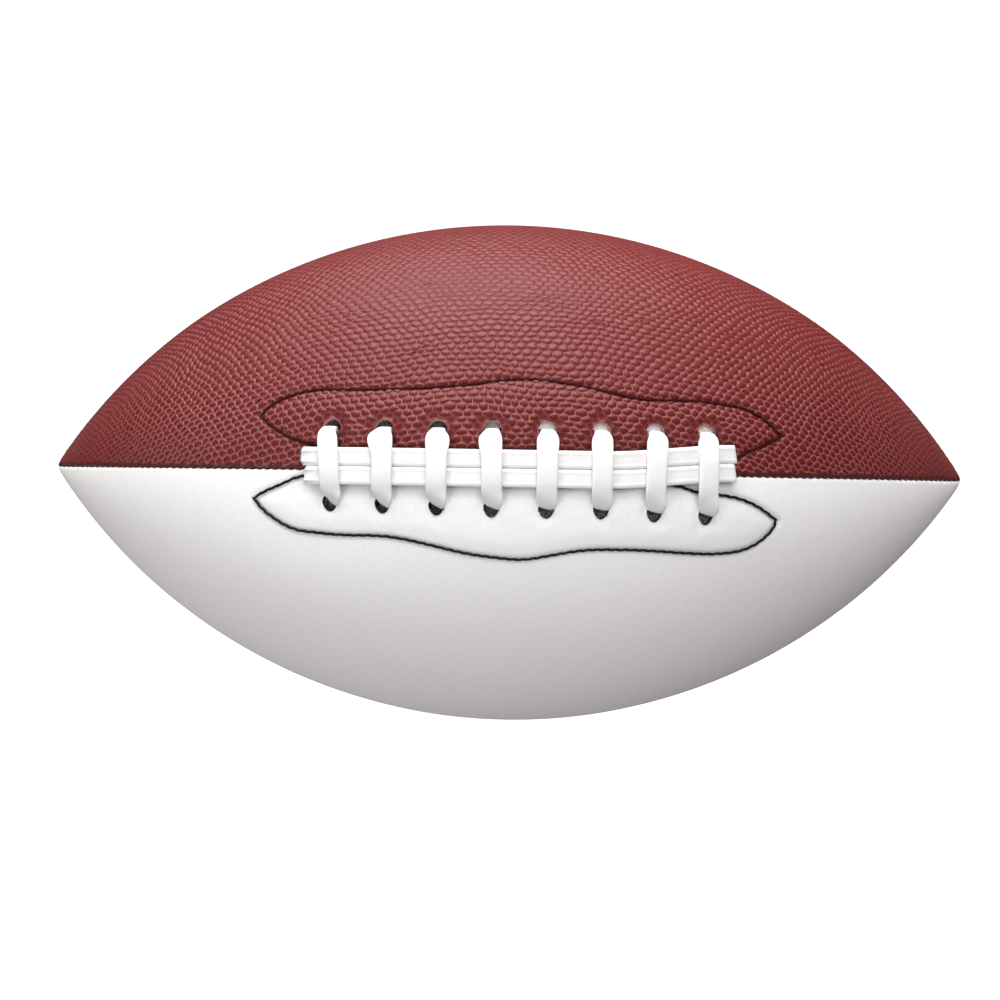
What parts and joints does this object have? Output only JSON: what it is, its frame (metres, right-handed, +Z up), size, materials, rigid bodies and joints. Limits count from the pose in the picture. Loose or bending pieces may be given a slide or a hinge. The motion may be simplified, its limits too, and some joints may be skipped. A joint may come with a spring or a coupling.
{
  "type": "american football",
  "caption": "Laced American football with a pebbled brown upper half, a smooth white lower half, sewn panel seams, an air bladder and an inflation valve.",
  "frame": {"origin": "centre of the ball, on its long axis midway between the tips", "axes": "+X along the long axis to the right as seen from the laced side, +Z up with the brown half on top, the lacing faces -Y"},
  "size_m": [0.254, 0.1427, 0.1394],
  "materials": {
    "brown_cover": "pebbled, satin",
    "white_cover": "smooth, satin",
    "foam_lining": "matt felted foam",
    "bladder_rubber": "smooth rubber",
    "valve_rubber": "matt rubber",
    "plug_rubber": "matt rubber",
    "lace": "finely ribbed, satin",
    "facing_fabric": "woven, matt",
    "tongue_fabric": "felted, matt",
    "facing_thread": "twisted thread",
    "seam_thread": "twisted thread"
  },
  "bodies": {
    "root": {"cover_panel_upper_front": "brown_cover", "cover_panel_lower_front": "white_cover", "cover_panel_upper_back": "brown_cover", "cover_panel_lower_back": "white_cover", "lining_upper_front": "foam_lining", "lining_lower_front": "foam_lining", "lining_upper_back": "foam_lining", "lining_lower_back": "foam_lining", "bladder": "bladder_rubber", "valve_body": "valve_rubber", "valve_plug": "plug_rubber", "cross_lace": "lace", "long_lace_upper": "lace", "long_lace_lower": "lace", "lace_facing_upper": "facing_fabric", "lace_facing_lower": "facing_fabric", "lace_tongue": "tongue_fabric", "facing_stitch_upper": "facing_thread", "facing_stitch_lower": "facing_thread", "seam_thread_top": "seam_thread", "seam_thread_back": "seam_thread", "seam_thread_bottom": "seam_thread", "seam_thread_front_left": "seam_thread", "seam_thread_front_right": "seam_thread"}
  },
  "joints": []
}
